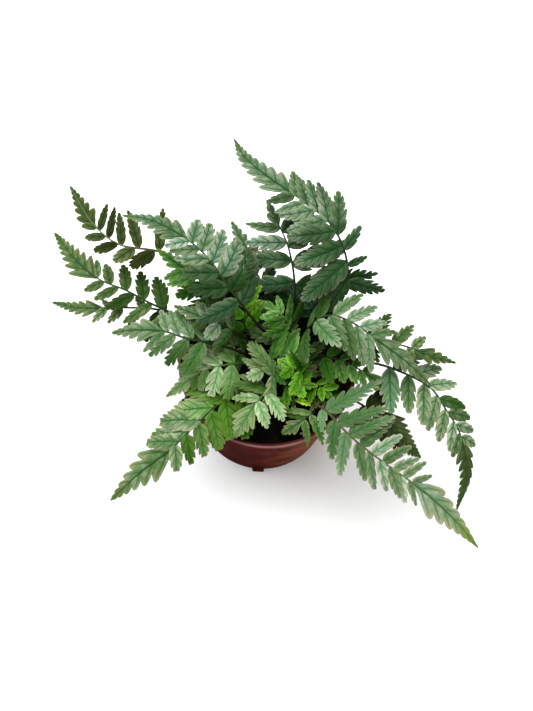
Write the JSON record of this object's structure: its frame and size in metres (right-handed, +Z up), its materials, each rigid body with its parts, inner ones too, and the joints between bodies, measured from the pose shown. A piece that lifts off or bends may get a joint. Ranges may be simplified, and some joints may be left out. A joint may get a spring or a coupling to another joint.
{
  "type": "potted fern",
  "caption": "Small leafy fern with arching feather-shaped fronds of lobed leaflets, in a round tapered plastic nursery pot of dark soil.",
  "frame": {"origin": "middle of the pot's flat underside, on the surface that the pot stands on", "axes": "+Z up along the pot's axis, +X towards the side where the longest right-hand fronds hang, +Y away from the pictured front"},
  "size_m": [0.3162, 0.2422, 0.1679],
  "materials": {
    "pot_plastic": "satin moulded plastic, dark red-brown",
    "potting_soil": "rough dark potting mix of peat, bark and coir",
    "frond_back_tall_leaf": "satin mid green leaf",
    "frond_back_middle_leaf": "satin dark blue-green leaf",
    "frond_back_left_leaf": "satin dark blue-green leaf",
    "frond_left_back_leaf": "satin pale grey-green leaf",
    "frond_left_rise_leaf": "satin bright young green leaf",
    "frond_left_dark_leaf": "satin olive-brown leaf",
    "frond_left_high_leaf": "satin mid green leaf",
    "frond_left_low_leaf": "satin mid green leaf",
    "frond_left_broad_leaf": "satin pale grey-green leaf",
    "frond_left_inner_leaf": "satin mid green leaf",
    "frond_left_pale_leaf": "satin pale grey-green leaf",
    "frond_left_under_leaf": "satin olive-brown leaf",
    "frond_front_left_leaf": "satin mid green leaf",
    "frond_front_pale_leaf": "satin pale grey-green leaf",
    "frond_front_right_leaf": "satin pale grey-green leaf",
    "frond_right_dark_leaf": "satin dark blue-green leaf",
    "frond_right_high_leaf": "satin pale grey-green leaf",
    "frond_right_hooked_leaf": "satin mid green leaf",
    "frond_right_middle_leaf": "satin mid green leaf",
    "frond_right_young_leaf": "satin bright young green leaf",
    "frond_young_left_leaf": "satin bright young green leaf",
    "frond_young_back_leaf": "satin bright young green leaf",
    "frond_young_middle_leaf": "satin bright young green leaf",
    "frond_young_right_leaf": "satin bright young green leaf",
    "frond_young_low_leaf": "satin mid green leaf",
    "frond_pale_middle_leaf": "satin pale grey-green leaf",
    "frond_pale_front_leaf": "satin pale grey-green leaf",
    "frond_front_small_leaf": "satin bright young green leaf",
    "frond_young_front_leaf": "satin bright young green leaf",
    "frond_low_middle_leaf": "satin dark blue-green leaf",
    "frond_low_left_leaf": "satin dark blue-green leaf",
    "frond_low_back_leaf": "satin dark blue-green leaf",
    "frond_newest_leaf": "satin yellow-green newest leaf",
    "frond_front_cross_leaf": "satin pale grey-green leaf",
    "frond_young_cross_leaf": "satin bright young green leaf",
    "frond_dark_back_leaf": "satin dark blue-green leaf",
    "frond_dark_centre_leaf": "satin mid green leaf"
  },
  "bodies": {
    "root": {"pot": "pot_plastic", "soil": "potting_soil", "frond_back_tall": "frond_back_tall_leaf", "frond_back_middle": "frond_back_middle_leaf", "frond_back_left": "frond_back_left_leaf", "frond_left_back": "frond_left_back_leaf", "frond_left_rise": "frond_left_rise_leaf", "frond_left_dark": "frond_left_dark_leaf", "frond_left_high": "frond_left_high_leaf", "frond_left_low": "frond_left_low_leaf", "frond_left_broad": "frond_left_broad_leaf", "frond_left_inner": "frond_left_inner_leaf", "frond_left_pale": "frond_left_pale_leaf", "frond_left_under": "frond_left_under_leaf", "frond_front_left": "frond_front_left_leaf", "frond_front_pale": "frond_front_pale_leaf", "frond_front_right": "frond_front_right_leaf", "frond_right_dark": "frond_right_dark_leaf", "frond_right_high": "frond_right_high_leaf", "frond_right_hooked": "frond_right_hooked_leaf", "frond_right_middle": "frond_right_middle_leaf", "frond_right_young": "frond_right_young_leaf", "frond_young_left": "frond_young_left_leaf", "frond_young_back": "frond_young_back_leaf", "frond_young_middle": "frond_young_middle_leaf", "frond_young_right": "frond_young_right_leaf", "frond_young_low": "frond_young_low_leaf", "frond_pale_middle": "frond_pale_middle_leaf", "frond_pale_front": "frond_pale_front_leaf", "frond_front_small": "frond_front_small_leaf", "frond_young_front": "frond_young_front_leaf", "frond_low_middle": "frond_low_middle_leaf", "frond_low_left": "frond_low_left_leaf", "frond_low_back": "frond_low_back_leaf", "frond_newest": "frond_newest_leaf", "frond_front_cross": "frond_front_cross_leaf", "frond_young_cross": "frond_young_cross_leaf", "frond_dark_back": "frond_dark_back_leaf", "frond_dark_centre": "frond_dark_centre_leaf"}
  },
  "joints": []
}
